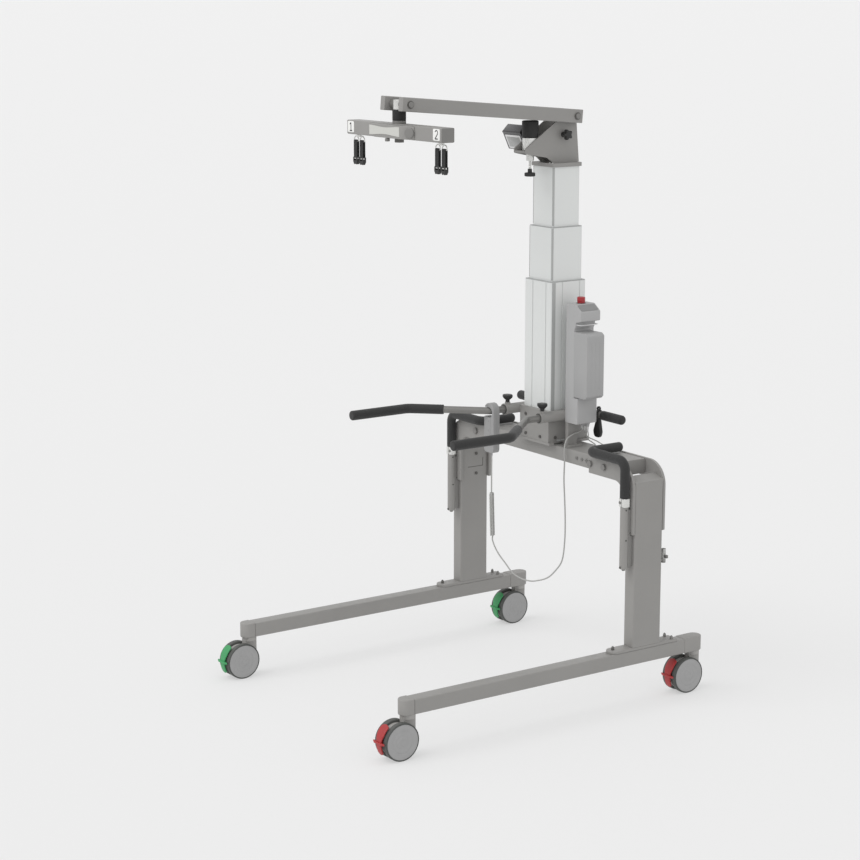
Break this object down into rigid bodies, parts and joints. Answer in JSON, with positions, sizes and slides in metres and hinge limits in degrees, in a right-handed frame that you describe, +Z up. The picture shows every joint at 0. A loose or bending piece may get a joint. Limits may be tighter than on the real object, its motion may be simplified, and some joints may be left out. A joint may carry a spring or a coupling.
{
  "type": "body weight support system",
  "caption": "Wheeled body weight support frame with braked casters, telescopic column, hinged boom, swivelling strap yoke, handles, battery control unit and handset.",
  "frame": {"origin": "on the floor, below the middle of the whole frame's box", "axes": "+X to the machine's right, -Y to the open end where the person stands, +Z up"},
  "size_m": [1.073, 1.3339, 2.0399],
  "materials": {
    "frame_grey": "satin warm grey paint",
    "plastic_light": "light grey moulded plastic",
    "column_silver": "silver anodised extrusion",
    "bare_steel": "bright steel",
    "bolt_zinc": "zinc plated",
    "black_plastic": "black moulded plastic",
    "black_foam": "matt foam rubber",
    "black_webbing": "woven webbing",
    "button_red": "red plastic",
    "pedal_red": "red moulded plastic",
    "pedal_green": "green moulded plastic",
    "wheel_grey": "grey wheel disc with a darker tyre",
    "cord_grey": "light grey cord"
  },
  "bodies": {
    "frame": {"legs": "frame_grey", "leg_end_caps": "frame_grey", "base_plates": "frame_grey", "uprights": "frame_grey", "crossbeam": "frame_grey", "corner_plates": "frame_grey", "frame_bolts": "bolt_zinc", "column_bracket": "frame_grey", "column_outer": "column_silver", "rear_handles": "bare_steel", "rear_grips": "black_foam", "control_post": "frame_grey", "control_box": "plastic_light", "battery_pack": "plastic_light", "cable_glands": "plastic_light", "handle_sleeves": "frame_grey", "sleeve_clamps": "bare_steel", "handset": "plastic_light", "handset_cord": "cord_grey", "curly_cord": "cord_grey"},
    "stop_button": {"estop_button": "button_red"},
    "lever": {"clamp_lever": "black_plastic"},
    "rocker_key": {"handset_key": "plastic_light"},
    "middle_stage": {"column_middle": "column_silver"},
    "inner_stage": {"column_inner": "column_silver", "head_bracket": "frame_grey", "rubber_bumper": "black_foam"},
    "display": {"display_case": "plastic_light"},
    "star": {"star_knob": "black_plastic"},
    "jack": {"jack_screw": "black_plastic"},
    "boom": {"boom": "frame_grey"},
    "stem": {"yoke_stem": "bare_steel"},
    "yoke": {"yoke_beam": "frame_grey", "yoke_cover": "frame_grey"},
    "hanger_left": {"hanger_left": "bare_steel"},
    "straps_left": {"straps_left": "black_webbing"},
    "handlebar_left": {"handlebar_left": "bare_steel", "handlebar_grip_left": "black_foam"},
    "clamp_knob_left": {"clamp_knob_left": "black_plastic"},
    "push_handle_left": {"push_handle_left": "bare_steel", "push_grip_left": "black_foam"},
    "hanger_right": {"hanger_right": "bare_steel"},
    "straps_right": {"straps_right": "black_webbing"},
    "handlebar_right": {"handlebar_right": "bare_steel", "handlebar_grip_right": "black_foam"},
    "clamp_knob_right": {"clamp_knob_right": "black_plastic"},
    "push_handle_right": {"push_handle_right": "bare_steel", "push_grip_right": "black_foam"},
    "caster_front_left_fork": {"caster_front_left_fork": "frame_grey"},
    "caster_front_left_wheels": {"caster_front_left_wheels": "wheel_grey"},
    "caster_front_left_pedal": {"caster_front_left_pedal": "pedal_green"},
    "caster_front_right_fork": {"caster_front_right_fork": "frame_grey"},
    "caster_front_right_wheels": {"caster_front_right_wheels": "wheel_grey"},
    "caster_front_right_pedal": {"caster_front_right_pedal": "pedal_red"},
    "caster_rear_left_fork": {"caster_rear_left_fork": "frame_grey"},
    "caster_rear_left_wheels": {"caster_rear_left_wheels": "wheel_grey"},
    "caster_rear_left_pedal": {"caster_rear_left_pedal": "pedal_green"},
    "caster_rear_right_fork": {"caster_rear_right_fork": "frame_grey"},
    "caster_rear_right_wheels": {"caster_rear_right_wheels": "wheel_grey"},
    "caster_rear_right_pedal": {"caster_rear_right_pedal": "pedal_red"}
  },
  "joints": [
    {"name": "stop_button_press", "type": "slide", "parent": "frame", "child": "stop_button", "axis": [0, 0, 1], "range_m": [-0.004, 0], "stiffness_N_per_m": 600},
    {"name": "clamp_lever_turn", "type": "hinge", "parent": "frame", "child": "lever", "pos_m": [0.163, 0.4795, 0.932], "axis": [1, 0, 0], "range_deg": [0, 64]},
    {"name": "rocker_key_tilt", "type": "hinge", "parent": "frame", "child": "rocker_key", "pos_m": [-0.1, 0.1995, 0.88], "axis": [1, 0, 0], "range_deg": [-4, 4], "stiffness_Nm_per_rad": 0.3},
    {"name": "column_lift", "type": "slide", "parent": "frame", "child": "middle_stage", "axis": [0, 0, 1], "range_m": [-0.18, 0.16]},
    {"name": "column_lift_inner", "type": "slide", "parent": "middle_stage", "child": "inner_stage", "axis": [0, 0, 1], "range_m": [-0.18, 0.16]},
    {"name": "display_tilt", "type": "hinge", "parent": "inner_stage", "child": "display", "pos_m": [-0.035, 0.408, 1.894], "axis": [1, 0, 0], "range_deg": [-4, 20]},
    {"name": "star_knob_turn", "type": "hinge", "parent": "inner_stage", "child": "star", "pos_m": [0, 0.408, 1.894], "axis": [1, 0, 0], "continuous": true},
    {"name": "jack_screw_turn", "type": "hinge", "parent": "inner_stage", "child": "jack", "pos_m": [0, 0.293, 1.799], "axis": [0, 0, 1], "continuous": true},
    {"name": "boom_lift", "type": "hinge", "parent": "inner_stage", "child": "boom", "pos_m": [0, 0.4447, 1.956], "axis": [-1, 0, 0], "range_deg": [0, 40]},
    {"name": "yoke_swing", "type": "hinge", "parent": "boom", "child": "stem", "pos_m": [0, -0.24181, 2.01449], "axis": [1, 0, 0], "range_deg": [-30, 30]},
    {"name": "yoke_swivel", "type": "hinge", "parent": "stem", "child": "yoke", "pos_m": [0, -0.24181, 1.95149], "axis": [0, 0, 1], "continuous": true},
    {"name": "hanger_left_swivel", "type": "hinge", "parent": "yoke", "child": "hanger_left", "pos_m": [-0.24, -0.24181, 1.90449], "axis": [0, 0, 1], "continuous": true},
    {"name": "straps_left_swing", "type": "hinge", "parent": "hanger_left", "child": "straps_left", "pos_m": [-0.24, -0.24181, 1.88049], "axis": [1, 0, 0], "range_deg": [-60, 60]},
    {"name": "handlebar_left_slide", "type": "slide", "parent": "frame", "child": "handlebar_left", "axis": [0, -1, 0], "range_m": [0, 0.05]},
    {"name": "clamp_knob_left_turn", "type": "hinge", "parent": "frame", "child": "clamp_knob_left", "pos_m": [-0.1, 0.28, 0.952], "axis": [0, 0, 1], "continuous": true},
    {"name": "push_handle_left_lift", "type": "slide", "parent": "frame", "child": "push_handle_left", "axis": [0, 0, 1], "range_m": [0, 0.1]},
    {"name": "hanger_right_swivel", "type": "hinge", "parent": "yoke", "child": "hanger_right", "pos_m": [0.24, -0.24181, 1.90449], "axis": [0, 0, 1], "continuous": true},
    {"name": "straps_right_swing", "type": "hinge", "parent": "hanger_right", "child": "straps_right", "pos_m": [0.24, -0.24181, 1.88049], "axis": [1, 0, 0], "range_deg": [-60, 60]},
    {"name": "handlebar_right_slide", "type": "slide", "parent": "frame", "child": "handlebar_right", "axis": [0, -1, 0], "range_m": [0, 0.05]},
    {"name": "clamp_knob_right_turn", "type": "hinge", "parent": "frame", "child": "clamp_knob_right", "pos_m": [0.1, 0.28, 0.952], "axis": [0, 0, 1], "continuous": true},
    {"name": "push_handle_right_lift", "type": "slide", "parent": "frame", "child": "push_handle_right", "axis": [0, 0, 1], "range_m": [0, 0.1]},
    {"name": "caster_front_left_swivel", "type": "hinge", "parent": "frame", "child": "caster_front_left_fork", "pos_m": [-0.501, -0.551, 0.1], "axis": [0, 0, 1], "continuous": true},
    {"name": "caster_front_left_roll", "type": "hinge", "parent": "caster_front_left_fork", "child": "caster_front_left_wheels", "pos_m": [-0.501, -0.591, 0.0625], "axis": [1, 0, 0], "continuous": true},
    {"name": "caster_front_left_brake", "type": "hinge", "parent": "caster_front_left_fork", "child": "caster_front_left_pedal", "pos_m": [-0.501, -0.591, 0.0625], "axis": [1, 0, 0], "range_deg": [0, 15]},
    {"name": "caster_front_right_swivel", "type": "hinge", "parent": "frame", "child": "caster_front_right_fork", "pos_m": [0.501, -0.551, 0.1], "axis": [0, 0, 1], "continuous": true},
    {"name": "caster_front_right_roll", "type": "hinge", "parent": "caster_front_right_fork", "child": "caster_front_right_wheels", "pos_m": [0.501, -0.591, 0.0625], "axis": [1, 0, 0], "continuous": true},
    {"name": "caster_front_right_brake", "type": "hinge", "parent": "caster_front_right_fork", "child": "caster_front_right_pedal", "pos_m": [0.501, -0.591, 0.0625], "axis": [1, 0, 0], "range_deg": [0, 15]},
    {"name": "caster_rear_left_swivel", "type": "hinge", "parent": "frame", "child": "caster_rear_left_fork", "pos_m": [-0.501, 0.635, 0.1], "axis": [0, 0, 1], "continuous": true},
    {"name": "caster_rear_left_roll", "type": "hinge", "parent": "caster_rear_left_fork", "child": "caster_rear_left_wheels", "pos_m": [-0.501, 0.595, 0.0625], "axis": [1, 0, 0], "continuous": true},
    {"name": "caster_rear_left_brake", "type": "hinge", "parent": "caster_rear_left_fork", "child": "caster_rear_left_pedal", "pos_m": [-0.501, 0.595, 0.0625], "axis": [1, 0, 0], "range_deg": [0, 15]},
    {"name": "caster_rear_right_swivel", "type": "hinge", "parent": "frame", "child": "caster_rear_right_fork", "pos_m": [0.501, 0.635, 0.1], "axis": [0, 0, 1], "continuous": true},
    {"name": "caster_rear_right_roll", "type": "hinge", "parent": "caster_rear_right_fork", "child": "caster_rear_right_wheels", "pos_m": [0.501, 0.595, 0.0625], "axis": [1, 0, 0], "continuous": true},
    {"name": "caster_rear_right_brake", "type": "hinge", "parent": "caster_rear_right_fork", "child": "caster_rear_right_pedal", "pos_m": [0.501, 0.595, 0.0625], "axis": [1, 0, 0], "range_deg": [0, 15]}
  ],
  "couplings": [
    {"joint": "column_lift_inner", "follows": "column_lift", "ratio": 1}
  ]
}
